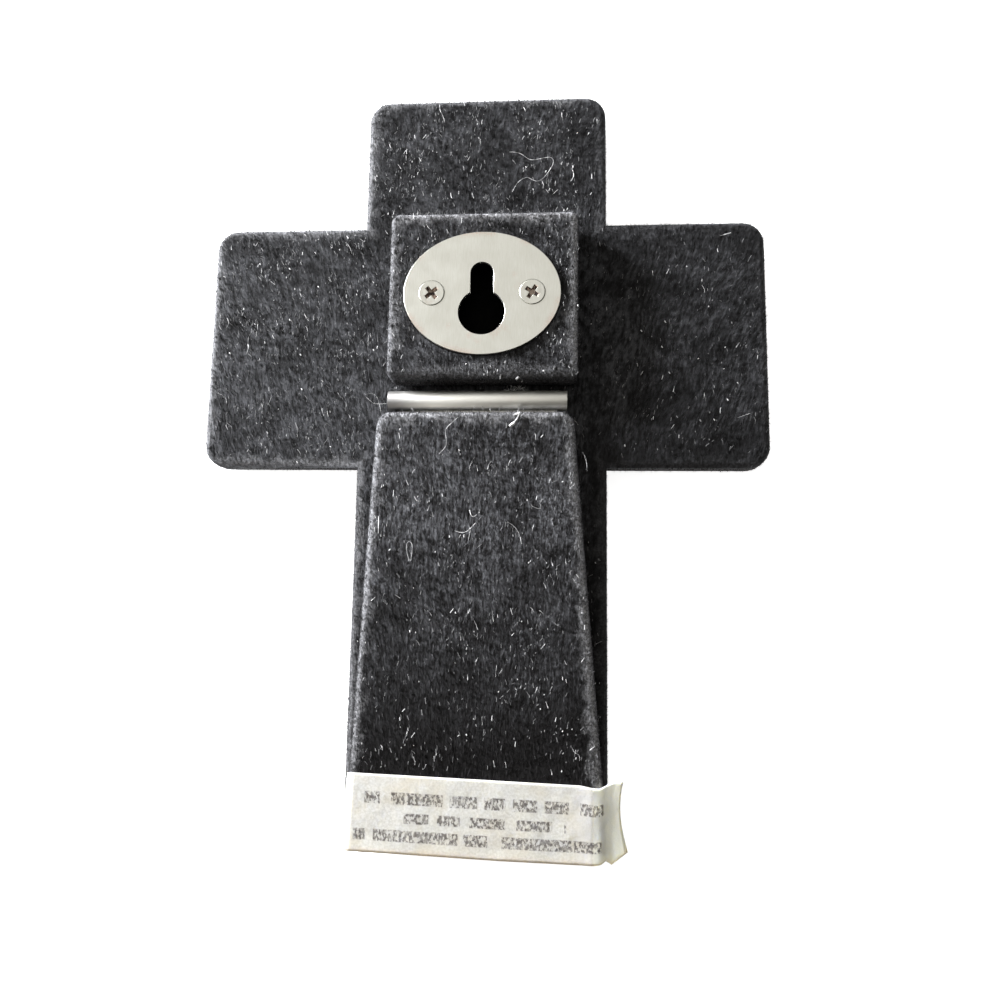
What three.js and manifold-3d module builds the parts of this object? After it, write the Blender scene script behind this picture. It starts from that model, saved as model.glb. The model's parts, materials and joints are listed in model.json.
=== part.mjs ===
// A small wall cross seen from its back. A cast front plate is glued to a velvet-covered board.
// On the board's back sit a velvet-covered block with a keyhole hanger plate, and an easel leg
// on a steel hinge, with a paper label round its foot.
// Millimetres. The cross lies face down: +Z points out of its back, +Y to its top end.

import * as THREE from 'three';
import { mergeVertices } from 'three/addons/utils/BufferGeometryUtils.js';
import Module from 'manifold-3d';

const wasm = await Module();
wasm.setup();

// Cross
const CROSS_WIDTH = 115;            // across the arms
const CROSS_HEIGHT = 155;
const UPRIGHT_WIDTH = 50.2;
const ARM_HEIGHT = 50.9;
const ARM_CENTRE_FROM_TOP = 54.1;
const CORNER_RADIUS = 4.5;
const ARM_CENTRE_Y = CROSS_HEIGHT / 2 - ARM_CENTRE_FROM_TOP;

// Thicknesses, from the front face at z = 0 up to the back
const GAP = 0.3;                    // the glue line between pieces that touch
const FRONT_THICKNESS = 2.7;
const FRONT_INSET = 0.8;            // the plate is this much smaller than the board, all round
const BOARD_THICKNESS = 5.5;
const BOARD_EDGE_ROUND = 1.3;
const BOARD_FRONT_Z = FRONT_THICKNESS + GAP;
const BOARD_BACK_Z = BOARD_FRONT_Z + BOARD_THICKNESS;

// Front plate relief
const RIM_WIDTH = 2.4;
const FIELD_DEPTH = 0.7;            // the field lies this far below the rim
const STROKE_DEPTH = 0.45;          // the strokes stand this far out of the field
const STROKE_HEIGHT = 2.2;
const STROKE_ROOT = 0.2;            // how far each stroke is sunk into the field to join it
const STROKE_BEAT = [6.8, 3.4, 8.6, 4.6, 9.4, 5.8, 2.8];    // stroke lengths, used in turn
const STROKE_SPACE = 2.6;
const ROW_PITCH = 8;
const ROW_INDENT = 1.4;             // each third row starts afresh, the others this much further in
const FIELD_MARGIN = 5;             // bare field between the rim and the rows

// Hanger block
const BLOCK_WIDTH = 38.1;
const BLOCK_HEIGHT = 34.2;
const BLOCK_X = 0.5;
const BLOCK_Y = ARM_CENTRE_Y + 7.9;
const BLOCK_RISE = 7;               // its face above the board's back
const BLOCK_CORNER = 1.6;
const BLOCK_EDGE_ROUND = 1.2;
const BLOCK_FACE_Z = BOARD_BACK_Z + BLOCK_RISE;
const BLOCK_BASE_Z = BOARD_BACK_Z + GAP;

// Keyhole plate, an oval pressed 0.5 mm into the block's face
const PLATE_LENGTH = 31.4;
const PLATE_HEIGHT = 25.4;
const PLATE_X = 0.4;
const PLATE_Y = ARM_CENTRE_Y + 7.95;
const PLATE_THICKNESS = 1;
const PLATE_SEAT = 0.5;
const PLATE_BASE_Z = BLOCK_FACE_Z - PLATE_SEAT + GAP;
const PLATE_FACE_Z = PLATE_BASE_Z + PLATE_THICKNESS;
const KEYHOLE_RADIUS = 4.65;
const KEYHOLE_ROUND_Y = PLATE_Y - 4;
const SLOT_WIDTH = 4.6;
const SLOT_TOP_Y = PLATE_Y + 6.35;
const CAVITY_WIDTH = 11.4;          // room behind the plate for the wall screw's head
const CAVITY_END = 3.4;             // how far that room goes past the slot's top
const CAVITY_FLOOR = 1.5;           // block left under it

// Plate screws
const SCREW_SPACING = 20.1;
const SCREW_HEAD_RADIUS = 2.6;
const SCREW_NECK_RADIUS = 1.5;
const SCREW_SHANK_RADIUS = 1.1;
const SCREW_LENGTH = 6.6;
const SCREW_CROWN = 0.15;
const SCREW_TURN_LEFT = 40;         // how the crossed recesses are turned, in degrees
const SCREW_TURN_RIGHT = 58;
const RECESS_LENGTH = 3.1;
const RECESS_WIDTH = 0.75;
const RECESS_DEPTH = 0.75;
const CLEARANCE = 0.35;             // all round a screw or a pin

// Hinge
const HINGE_X = -0.55;
const HINGE_Y = ARM_CENTRE_Y - 12.9;
const HINGE_Z = BOARD_BACK_Z + 2.55;
const BARREL_LENGTH = 36;
const BARREL_RADIUS = 2.1;
const BARREL_WALL = 0.4;
const BARREL_BORE = BARREL_RADIUS - BARREL_WALL;
const PIN_RADIUS = BARREL_BORE - CLEARANCE;
const NECK_LENGTH = 22;             // the pin's blade along the hinge
const NECK_THICKNESS = 0.8;
const NECK_IN_BOARD = 3;
const SLIT_LENGTH = NECK_LENGTH + 2;
const PIN_LENGTH = BARREL_LENGTH - 0.6;
const OPENING_ANGLE = 30;           // how far the leg swings, in degrees
const LEAF_WIDTH = BARREL_LENGTH - 4;
const LEAF_LENGTH = 7;
const LEAF_THICKNESS = 0.8;

// Easel leg
const LEG_TOP_WIDTH = 39.5;
const LEG_FOOT_WIDTH = 49.6;
const LEG_TOP_X = -1;
const LEG_FOOT_X = 0.55;
const LEG_TOP_Y = HINGE_Y - BARREL_RADIUS - GAP;
const LEG_FOOT_Y = -CROSS_HEIGHT / 2 + 1.3;
const LEG_THICKNESS = 4.2;
const LEG_CORNER = 2.8;
const LEG_FOOT_CORNER = 1.6;
const LEG_EDGE_ROUND = 1.5;
const LEG_BASE_Z = BOARD_BACK_Z + 0.4;
const LEG_FACE_Z = LEG_BASE_Z + LEG_THICKNESS;

// Paper label
const LABEL_HEIGHT = 14;
const LABEL_THICKNESS = 0.3;
const LABEL_Y = -CROSS_HEIGHT / 2 + 8;
const LABEL_TURN = -1.6;            // it is stuck on a little askew, in degrees
const LABEL_LIFT = 0.5;             // its middle above the leg's face
// Its folds at each long edge of the leg: how far past the edge, and how far below its middle
const LABEL_LEFT_FOLDS = [[2.9, 3.4], [0.95, 3.2], [0.6, 2], [-0.2, 0.5], [-1.2, 0]];
const LABEL_RIGHT_FOLDS = [[-3, 0], [-1.4, 0.1], [0.1, 0.7], [0.9, 1.8], [3.1, 2.6]];
// Its loose ends are torn: how far past the leg's edge, and how far above the label's middle
const LABEL_LEFT_END = [[1, 8], [1, 0.4], [2.6, -3], [2.9, -5], [1, -8]];
const LABEL_RIGHT_END = [[0.6, -8], [3.4, -5], [2.2, 0], [3.4, 8]];

const radians = THREE.MathUtils.degToRad;
const velvet = { color: 0x1d1c22, roughness: 0.95, metalness: 0 };
const steel = { color: 0xaaa99f, roughness: 0.4, metalness: 1 };
const pewter = { color: 0x5c5a56, roughness: 0.5, metalness: 0.8 };
const paper = { color: 0xd9d5c8, roughness: 0.9, metalness: 0 };

const part = new THREE.Group();

function addPiece(name, geometry, finish) {
  const mesh = new THREE.Mesh(geometry, new THREE.MeshStandardMaterial(finish));
  mesh.name = name;
  part.add(mesh);
}

// Closed geometry to a solid for cutting and joining, and back again
function solidOf(geometry) {
  const bare = geometry.clone();
  bare.deleteAttribute('normal');
  bare.deleteAttribute('uv');
  const merged = mergeVertices(bare, 1e-5);
  return new wasm.Manifold(new wasm.Mesh({
    numProp: 3,
    vertProperties: Float32Array.from(merged.attributes.position.array),
    triVerts: Uint32Array.from(merged.index.array),
  }));
}

function geometryOf(solid) {
  const mesh = solid.getMesh();
  const geometry = new THREE.BufferGeometry();
  geometry.setAttribute('position', new THREE.BufferAttribute(mesh.vertProperties, 3));
  geometry.setIndex(new THREE.BufferAttribute(mesh.triVerts, 1));
  geometry.computeVertexNormals();
  return geometry;
}

// A closed outline through corners [x, y, radius], taken anticlockwise
function outline(corners) {
  const shape = new THREE.Shape();
  const at = (index) => new THREE.Vector2(...corners.at(index % corners.length).slice(0, 2));
  corners.forEach(([, , radius], index) => {
    const corner = at(index);
    const back = at(index - 1).sub(corner).normalize();
    const ahead = at(index + 1).sub(corner).normalize();
    const half = Math.acos(back.dot(ahead)) / 2;
    const start = corner.clone().addScaledVector(back, radius / Math.tan(half));
    if (index === 0) shape.moveTo(start.x, start.y);
    else shape.lineTo(start.x, start.y);
    if (radius > 0) {
      const end = corner.clone().addScaledVector(ahead, radius / Math.tan(half));
      const inward = back.clone().add(ahead).normalize();
      const centre = corner.clone().addScaledVector(inward, radius / Math.sin(half));
      const from = start.sub(centre).angle();
      const to = end.sub(centre).angle();
      shape.absarc(centre.x, centre.y, radius, from, to, back.cross(ahead) > 0);
    }
  });
  shape.closePath();
  return shape;
}

// The cross's outline, pulled in all round by inset
function crossOutline(inset) {
  const x1 = UPRIGHT_WIDTH / 2 - inset;
  const x2 = CROSS_WIDTH / 2 - inset;
  const y0 = -CROSS_HEIGHT / 2 + inset;
  const y1 = ARM_CENTRE_Y - ARM_HEIGHT / 2 + inset;
  const y2 = ARM_CENTRE_Y + ARM_HEIGHT / 2 - inset;
  const y3 = CROSS_HEIGHT / 2 - inset;
  const r = Math.max(CORNER_RADIUS - inset, 0.5);
  return outline([
    [-x1, y0, r], [x1, y0, r], [x1, y1, 0], [x2, y1, r], [x2, y2, r], [x1, y2, 0],
    [x1, y3, r], [-x1, y3, r], [-x1, y2, 0], [-x2, y2, r], [-x2, y1, r], [-x1, y1, 0],
  ]);
}

// A flat slab of an outline between two heights, with its edges rounded over in a few steps
function slab(shape, bottom, top, edgeRound = 0, curveSegments = 5, edgeSteps = 3) {
  const geometry = new THREE.ExtrudeGeometry(shape, {
    depth: top - bottom - 2 * edgeRound,
    bevelEnabled: edgeRound > 0,
    bevelThickness: edgeRound,
    bevelSize: edgeRound,
    bevelOffset: -edgeRound,
    bevelSegments: edgeSteps,
    curveSegments,
  });
  return geometry.translate(0, 0, bottom + edgeRound);
}

function rectangle(x, y, width, height, corner = 0) {
  const w = width / 2;
  const h = height / 2;
  return outline([[x - w, y - h, corner], [x + w, y - h, corner],
    [x + w, y + h, corner], [x - w, y + h, corner]]);
}

// A round profile [radius, z] turned about an upright line at (x, y)
function turned(profile, x, y, sides = 28) {
  const points = profile.map(([radius, z]) => new THREE.Vector2(radius, z));
  return new THREE.LatheGeometry(points, sides).rotateX(Math.PI / 2).translate(x, y, 0);
}

// An outline drawn in Y and Z across the hinge, run along X about its middle
function alongHinge(shape, length, curveSegments = 10) {
  return new THREE.ExtrudeGeometry(shape, { depth: length, bevelEnabled: false, curveSegments })
    .translate(0, 0, -length / 2)
    .rotateX(Math.PI / 2)
    .rotateZ(Math.PI / 2)
    .translate(HINGE_X, HINGE_Y, HINGE_Z);
}

function circle(radius) {
  return new THREE.Shape().absarc(0, 0, radius, 0, 2 * Math.PI, false);
}

// Rows of short raised strokes in place of an inscription. Each row fits the cross where it
// runs, and the strokes' lengths go round a fixed beat, like the words of a text.
function strokeRows() {
  const strokes = [];
  const armBottom = ARM_CENTRE_Y - ARM_HEIGHT / 2 + FRONT_INSET + FIELD_MARGIN;
  const armTop = ARM_CENTRE_Y + ARM_HEIGHT / 2 - FRONT_INSET - FIELD_MARGIN;
  const last = CROSS_HEIGHT / 2 - FRONT_INSET - RIM_WIDTH - FIELD_MARGIN;
  const rows = Math.floor((2 * last) / ROW_PITCH);
  for (let row = 0; row <= rows; row += 1) {
    const y = last - (row * 2 * last) / rows;
    const onArms = y > armBottom && y < armTop;
    const half = (onArms ? CROSS_WIDTH : UPRIGHT_WIDTH) / 2 - FRONT_INSET - RIM_WIDTH - FIELD_MARGIN;
    const lengthAt = (step) => STROKE_BEAT[step % STROKE_BEAT.length];
    let x = -half + (row % 3) * ROW_INDENT;
    for (let step = row; x < half - lengthAt(step); step += 1) {
      strokes.push(rectangle(x + lengthAt(step) / 2, y, lengthAt(step), STROKE_HEIGHT));
      x += lengthAt(step) + STROKE_SPACE;
    }
  }
  return strokes;
}

function frontPlate() {
  const body = solidOf(slab(crossOutline(FRONT_INSET), 0, FRONT_THICKNESS));
  const field = solidOf(slab(crossOutline(FRONT_INSET + RIM_WIDTH), -1, FIELD_DEPTH));
  const floor = FIELD_DEPTH - STROKE_DEPTH;
  return strokeRows().reduce(
    (plate, stroke) => plate.add(solidOf(slab(stroke, floor, FIELD_DEPTH + STROKE_ROOT))),
    body.subtract(field),
  );
}

function backBoard() {
  const board = slab(crossOutline(0), BOARD_FRONT_Z, BOARD_BACK_Z, BOARD_EDGE_ROUND);
  const neckSlot = rectangle(
    HINGE_X, HINGE_Y, NECK_LENGTH + 2 * CLEARANCE, NECK_THICKNESS + 2 * CLEARANCE,
  );
  const slotFloor = BOARD_BACK_Z - NECK_IN_BOARD - CLEARANCE;
  return solidOf(board).subtract(solidOf(slab(neckSlot, slotFloor, BOARD_BACK_Z + 1)));
}

function screwPlaces() {
  return [PLATE_X - SCREW_SPACING / 2, PLATE_X + SCREW_SPACING / 2];
}

function ellipse(extra) {
  return new THREE.Shape().absellipse(
    PLATE_X, PLATE_Y, PLATE_LENGTH / 2 + extra, PLATE_HEIGHT / 2 + extra, 0, 2 * Math.PI, false, 0,
  );
}

function keyhole() {
  const half = SLOT_WIDTH / 2;
  const join = Math.asin(half / KEYHOLE_RADIUS);
  const shape = new THREE.Shape();
  shape.absarc(PLATE_X, KEYHOLE_ROUND_Y, KEYHOLE_RADIUS, Math.PI / 2 + join, Math.PI / 2 - join, false);
  shape.absarc(PLATE_X, SLOT_TOP_Y - half, half, 0, Math.PI, false);
  shape.closePath();
  return shape;
}

function hangerBlock() {
  const outer = rectangle(BLOCK_X, BLOCK_Y, BLOCK_WIDTH, BLOCK_HEIGHT, BLOCK_CORNER);
  const block = solidOf(slab(outer, BLOCK_BASE_Z, BLOCK_FACE_Z, BLOCK_EDGE_ROUND));
  const seatFloor = BLOCK_FACE_Z - PLATE_SEAT;
  const seat = solidOf(slab(ellipse(CLEARANCE), seatFloor, BLOCK_FACE_Z + 1, 0, 48));
  const cavityBottom = KEYHOLE_ROUND_Y - CAVITY_WIDTH / 2;
  const cavityTop = SLOT_TOP_Y + CAVITY_END;
  const cavityMiddle = (cavityBottom + cavityTop) / 2;
  const cavityCorner = CAVITY_WIDTH / 2 - 0.1;
  const room = rectangle(PLATE_X, cavityMiddle, CAVITY_WIDTH, cavityTop - cavityBottom, cavityCorner);
  const cavity = solidOf(slab(room, BLOCK_BASE_Z + CAVITY_FLOOR, BLOCK_FACE_Z, 0, 8));
  const hole = SCREW_SHANK_RADIUS + CLEARANCE;
  const holeFloor = PLATE_FACE_Z - SCREW_LENGTH - CLEARANCE;
  const drill = [[0, holeFloor], [hole, holeFloor], [hole, BLOCK_FACE_Z], [0, BLOCK_FACE_Z]];
  return screwPlaces().reduce(
    (solid, x) => solid.subtract(solidOf(turned(drill, x, PLATE_Y, 16))),
    block.subtract(seat).subtract(cavity),
  );
}

function hangerPlate() {
  const blank = solidOf(slab(ellipse(0), PLATE_BASE_Z, PLATE_FACE_Z, 0.12, 56, 1));
  const opening = solidOf(slab(keyhole(), PLATE_BASE_Z - 1, PLATE_FACE_Z + 1, 0, 20));
  const wide = SCREW_HEAD_RADIUS + CLEARANCE;
  const narrow = SCREW_NECK_RADIUS + CLEARANCE;
  return screwPlaces().reduce(
    (solid, x) => solid.subtract(solidOf(turned([
      [0, PLATE_BASE_Z - 1], [narrow, PLATE_BASE_Z - 1], [narrow, PLATE_BASE_Z],
      [wide, PLATE_FACE_Z], [wide, PLATE_FACE_Z + 1], [0, PLATE_FACE_Z + 1],
    ], x, PLATE_Y))),
    blank.subtract(opening),
  );
}

// A countersunk wood screw with a crossed recess turned by the given angle
function plateScrew(x, turn) {
  const tip = PLATE_FACE_Z - SCREW_LENGTH;
  const screw = solidOf(turned([
    [0, tip], [SCREW_SHANK_RADIUS * 0.5, tip + 0.8], [SCREW_SHANK_RADIUS, tip + 2],
    [SCREW_SHANK_RADIUS, PLATE_BASE_Z - 0.4], [SCREW_NECK_RADIUS, PLATE_BASE_Z],
    [SCREW_HEAD_RADIUS, PLATE_FACE_Z - 0.1], [SCREW_HEAD_RADIUS, PLATE_FACE_Z],
    [SCREW_HEAD_RADIUS * 0.6, PLATE_FACE_Z + SCREW_CROWN * 0.8], [0, PLATE_FACE_Z + SCREW_CROWN],
  ], 0, 0, 24));
  const slotFloor = PLATE_FACE_Z - RECESS_DEPTH;
  const slot = solidOf(slab(rectangle(0, 0, RECESS_LENGTH, RECESS_WIDTH), slotFloor, PLATE_FACE_Z + 1));
  const pit = solidOf(turned([
    [0, PLATE_FACE_Z - 1], [RECESS_WIDTH, PLATE_FACE_Z + 1], [0, PLATE_FACE_Z + 1],
  ], 0, 0, 12));
  return screw
    .subtract(slot)
    .subtract(slot.rotate([0, 0, 90]))
    .subtract(pit)
    .rotate([0, 0, turn])
    .translate([x, PLATE_Y, 0]);
}

// The barrel is a strip of steel rolled round the pin, its two ends lying together as a leaf
// that is let into the leg. A slit on the board's side lets it swing past the pin's neck.
function hingeBarrel() {
  const tube = solidOf(alongHinge(circle(BARREL_RADIUS), BARREL_LENGTH, 32));
  const leaf = solidOf(alongHinge(
    rectangle(-(BARREL_BORE + LEAF_LENGTH / 2), 0, LEAF_LENGTH, LEAF_THICKNESS), LEAF_WIDTH,
  ));
  const bore = solidOf(alongHinge(circle(BARREL_BORE), BARREL_LENGTH + 2, 32));
  const spare = THREE.MathUtils.radToDeg(Math.asin((NECK_THICKNESS / 2 + CLEARANCE) / BARREL_BORE));
  const slitStart = radians(-90 - spare);
  const slitEnd = radians(-90 + OPENING_ANGLE + spare);
  const reach = BARREL_RADIUS + 1;
  const ray = (angle, length) => [length * Math.cos(angle), length * Math.sin(angle)];
  const wedge = new THREE.Shape()
    .moveTo(0, 0)
    .lineTo(...ray(slitStart, reach))
    .lineTo(...ray((slitStart + slitEnd) / 2, reach * 1.2))
    .lineTo(...ray(slitEnd, reach))
    .closePath();
  const slit = solidOf(alongHinge(wedge, SLIT_LENGTH));
  return tube.add(leaf).subtract(bore).subtract(slit);
}

function hingePin() {
  const pin = solidOf(alongHinge(circle(PIN_RADIUS), PIN_LENGTH, 20));
  const neckReach = HINGE_Z - BOARD_BACK_Z + NECK_IN_BOARD;
  const neck = solidOf(alongHinge(rectangle(0, -neckReach / 2, NECK_THICKNESS, neckReach), NECK_LENGTH));
  return pin.add(neck);
}

function easelLeg() {
  const board = outline([
    [LEG_FOOT_X - LEG_FOOT_WIDTH / 2, LEG_FOOT_Y, LEG_FOOT_CORNER],
    [LEG_FOOT_X + LEG_FOOT_WIDTH / 2, LEG_FOOT_Y, LEG_FOOT_CORNER],
    [LEG_TOP_X + LEG_TOP_WIDTH / 2, LEG_TOP_Y, LEG_CORNER],
    [LEG_TOP_X - LEG_TOP_WIDTH / 2, LEG_TOP_Y, LEG_CORNER],
  ]);
  const leafSlot = alongHinge(rectangle(
    -(BARREL_BORE + LEAF_LENGTH / 2 + CLEARANCE), 0, LEAF_LENGTH, LEAF_THICKNESS + 2 * CLEARANCE,
  ), LEAF_WIDTH + 2 * CLEARANCE);
  return solidOf(slab(board, LEG_BASE_Z, LEG_FACE_Z, LEG_EDGE_ROUND)).subtract(solidOf(leafSlot));
}

// The label is one strip of paper across the leg, folded down over both of its long edges.
// Its section gets its thickness at right angles to its folds, and its loose ends are torn.
function paperLabel() {
  const face = LEG_FACE_Z + LABEL_LIFT;
  const left = LEG_FOOT_X - LEG_FOOT_WIDTH / 2;
  const right = LEG_FOOT_X + LEG_FOOT_WIDTH / 2;
  const run = [
    ...LABEL_LEFT_FOLDS.map(([past, drop]) => new THREE.Vector2(left - past, face - drop)),
    ...LABEL_RIGHT_FOLDS.map(([past, drop]) => new THREE.Vector2(right + past, face - drop)),
  ];
  const side = (sign) => run.map((point, index) => {
    const before = run[Math.max(index - 1, 0)];
    const after = run[Math.min(index + 1, run.length - 1)];
    const along = after.clone().sub(before).normalize();
    const offset = new THREE.Vector2(-along.y, along.x).multiplyScalar((sign * LABEL_THICKNESS) / 2);
    return offset.add(point);
  });
  const section = new THREE.Shape([...side(1), ...side(-1).reverse()]);
  const strip = new THREE.ExtrudeGeometry(section, { depth: LABEL_HEIGHT, bevelEnabled: false })
    .translate(0, 0, -LABEL_HEIGHT / 2)
    .rotateX(Math.PI / 2);
  const torn = outline([
    ...LABEL_LEFT_END.map(([past, rise]) => [left - past, rise, 0]),
    ...LABEL_RIGHT_END.map(([past, rise]) => [right + past, rise, 0]),
  ]);
  return solidOf(strip)
    .intersect(solidOf(slab(torn, 0, face + 1)))
    .rotate([0, 0, LABEL_TURN])
    .translate([0, LABEL_Y, 0]);
}

addPiece('front_plate', geometryOf(frontPlate()), pewter);
addPiece('back_board', geometryOf(backBoard()), velvet);
addPiece('hanger_block', geometryOf(hangerBlock()), velvet);
addPiece('hanger_plate', geometryOf(hangerPlate()), steel);
addPiece('plate_screw_left', geometryOf(plateScrew(screwPlaces()[0], SCREW_TURN_LEFT)), steel);
addPiece('plate_screw_right', geometryOf(plateScrew(screwPlaces()[1], SCREW_TURN_RIGHT)), steel);
addPiece('hinge_pin', geometryOf(hingePin()), steel);
addPiece('hinge_barrel', geometryOf(hingeBarrel()), steel);
addPiece('easel_leg', geometryOf(easelLeg()), velvet);
addPiece('paper_label', geometryOf(paperLabel()), paper);

export default part;
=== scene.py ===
"""A small wall cross with a velvet-covered back, lying face down on a pale floor."""

import json
import math

import bmesh
import bpy
import numpy as np
from mathutils import Matrix, Vector, noise


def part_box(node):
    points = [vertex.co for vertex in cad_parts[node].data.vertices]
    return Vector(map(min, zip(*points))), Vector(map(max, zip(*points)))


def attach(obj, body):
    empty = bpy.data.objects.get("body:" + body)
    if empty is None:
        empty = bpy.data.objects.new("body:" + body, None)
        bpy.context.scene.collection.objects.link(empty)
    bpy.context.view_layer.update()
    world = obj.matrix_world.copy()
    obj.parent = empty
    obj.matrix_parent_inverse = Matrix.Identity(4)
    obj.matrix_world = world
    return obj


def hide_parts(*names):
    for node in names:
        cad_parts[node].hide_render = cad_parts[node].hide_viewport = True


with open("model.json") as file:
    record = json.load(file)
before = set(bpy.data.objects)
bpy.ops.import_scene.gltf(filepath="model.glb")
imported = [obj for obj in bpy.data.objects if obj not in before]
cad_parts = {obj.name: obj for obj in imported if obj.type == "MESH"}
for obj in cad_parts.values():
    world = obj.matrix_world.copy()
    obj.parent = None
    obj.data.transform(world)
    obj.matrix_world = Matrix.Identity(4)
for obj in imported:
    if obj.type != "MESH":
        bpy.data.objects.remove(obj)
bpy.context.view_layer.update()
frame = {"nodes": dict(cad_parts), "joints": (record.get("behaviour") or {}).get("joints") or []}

MM = 0.001
scene = bpy.context.scene


# Camera
# It looks down on the cross's back from just below the crossing and a little to the right,
# from about 160 mm away. The focal length is 800 pixels of a 1000 pixel wide frame.
FOCAL_PIXELS = 800
camera = bpy.data.objects.new("camera", bpy.data.cameras.new("camera"))
scene.collection.objects.link(camera)
camera.data.sensor_width = 36
camera.data.lens = FOCAL_PIXELS * 36 / 1000
camera.data.clip_start = 0.01
camera.location = (15.4 * MM, -30.6 * MM, 167.6 * MM)
camera.rotation_euler = (math.radians(7.7), math.radians(3.94), math.radians(0.86))
scene.camera = camera


# Floor and light
# A pale floor, a weak even surround, one window-like light, near and low on the upper left, whose
# shadow of the block reaches across the right arm, and two broad faint ones: over the top end and
# from the lower left.
# Each light has its heading (degrees anticlockwise from +X) and height (degrees above the floor),
# where it stands, its distance, its width and height, its power and its colour.
LIGHTS = {
    "window": (150, 14, 0.55, (0.24, 0.21), 18.0, (0.955, 0.97, 1.0)),
    "sky": (100, 68, 0.8, (0.9, 1.2), 2.7, (1.0, 0.975, 0.92)),
    "fill": (235, 25, 0.8, (0.6, 0.3), 1.2, (1.0, 0.95, 0.88)),
}
SURROUND = 0.035
FLOOR_GLOW = 0.9

bpy.ops.mesh.primitive_plane_add(size=3, location=(0, 0, -0.0002))
floor = bpy.context.object
floor.name = "floor"
floor_finish = bpy.data.materials.new("pale_floor")
floor_finish.use_nodes = True
floor_shader = floor_finish.node_tree.nodes["Principled BSDF"]
floor_shader.inputs["Base Color"].default_value = (0.9, 0.9, 0.9, 1)
floor_shader.inputs["Roughness"].default_value = 0.9
floor_shader.inputs["Emission Color"].default_value = (1, 1, 1, 1)
floor_shader.inputs["Emission Strength"].default_value = FLOOR_GLOW
floor.data.materials.append(floor_finish)

for name, (heading, height, distance, size, power, colour) in LIGHTS.items():
    heading, height = math.radians(heading), math.radians(height)
    towards = Vector((
        math.cos(height) * math.cos(heading), math.cos(height) * math.sin(heading), math.sin(height),
    ))
    lamp = bpy.data.objects.new(name, bpy.data.lights.new(name, "AREA"))
    scene.collection.objects.link(lamp)
    lamp.data.shape = "RECTANGLE"
    lamp.data.size, lamp.data.size_y = size
    lamp.data.energy = power
    lamp.data.color = colour
    lamp.location = towards * distance
    lamp.rotation_euler = towards.to_track_quat("Z", "Y").to_euler()

world = bpy.data.worlds.new("surround")
world.use_nodes = True
world.node_tree.nodes["Background"].inputs["Color"].default_value = (1.0, 0.94, 0.83, 1)
world.node_tree.nodes["Background"].inputs["Strength"].default_value = SURROUND
# Behind the floor's far edge the room is seen paler than it lights the cross
seen = world.node_tree.nodes.new("ShaderNodeBackground")
seen.inputs["Color"].default_value = (0.8, 0.8, 0.8, 1)
blend = world.node_tree.nodes.new("ShaderNodeMixShader")
rays = world.node_tree.nodes.new("ShaderNodeLightPath")
world.node_tree.links.new(rays.outputs["Is Camera Ray"], blend.inputs[0])
world.node_tree.links.new(world.node_tree.nodes["Background"].outputs[0], blend.inputs[1])
world.node_tree.links.new(seen.outputs[0], blend.inputs[2])
world.node_tree.links.new(blend.outputs[0], world.node_tree.nodes["World Output"].inputs["Surface"])
scene.world = world
scene.view_settings.view_transform = "Standard"


# Front plate
# The cross's decorated face, cast in one piece and glued to the board. It faces the floor and
# has an antique pewter look: dark in the hollows, rubbed bright on the relief.


class Finish:
    """A material whose nodes are added and joined in short calls."""

    def __init__(self, name):
        self.material = bpy.data.materials.new(name)
        self.material.use_nodes = True
        self.tree = self.material.node_tree
        self.shader = self.tree.nodes["Principled BSDF"]

    def node(self, kind, settings=None, **inputs):
        """Adds a node, sets it up, and fills its inputs with values or with other nodes' outputs."""
        node = self.tree.nodes.new(kind)
        for key, value in (settings or {}).items():
            setattr(node, key, value)
        for key, value in inputs.items():
            socket = node.inputs[int(key[1:])] if key[1:].isdigit() else node.inputs[key.replace("_", " ")]
            self.feed(socket, value)
        return node

    def feed(self, socket, value):
        if isinstance(value, bpy.types.NodeSocket):
            self.tree.links.new(value, socket)
        else:
            socket.default_value = value

    def set(self, **inputs):
        for key, value in inputs.items():
            self.feed(self.shader.inputs[key.replace("_", " ")], value)

    def position(self, scale=(1, 1, 1), turn=(0, 0, 0)):
        """Object coordinates in millimetres, stretched and turned."""
        coordinates = self.node("ShaderNodeTexCoord").outputs["Object"]
        stretched = tuple(1000 * s for s in scale)
        return self.node("ShaderNodeMapping", Vector=coordinates, Scale=stretched, Rotation=turn).outputs[0]

    def noise(self, vector, scale=1.0, detail=2.0, roughness=0.5, distortion=0.0):
        return self.node(
            "ShaderNodeTexNoise", Vector=vector, Scale=scale, Detail=detail, Roughness=roughness,
            Distortion=distortion,
        ).outputs["Fac"]

    def math(self, operation, a, b=0.0, c=0.0):
        return self.node("ShaderNodeMath", {"operation": operation}, i0=a, i1=b, i2=c).outputs[0]

    def span(self, value, low, high, to_low=0.0, to_high=1.0, smooth=True):
        """Maps low..high to to_low..to_high, and holds it there outside."""
        kind = {"interpolation_type": "SMOOTHSTEP" if smooth else "LINEAR", "clamp": True}
        return self.node(
            "ShaderNodeMapRange", kind, Value=value, From_Min=low, From_Max=high,
            To_Min=to_low, To_Max=to_high,
        ).outputs[0]

    def mix(self, factor, a, b):
        """Mixes two colours."""
        node = self.node("ShaderNodeMix", {"data_type": "RGBA"})
        self.feed(node.inputs["Factor"], factor)
        self.feed(node.inputs["A"], a)
        self.feed(node.inputs["B"], b)
        return node.outputs["Result"]

    def bump(self, height, strength, distance):
        bump = self.node("ShaderNodeBump", Height=height, Strength=strength, Distance=distance)
        return bump.outputs[0]


def grey(level, warm=0.0):
    return (level * (1 + warm), level, level * (1 - warm), 1)


def show(node, finish):
    """Gives a CAD node its finish."""
    mesh = frame["nodes"][node].data
    mesh.materials.clear()
    mesh.materials.append(finish.material)


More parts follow.
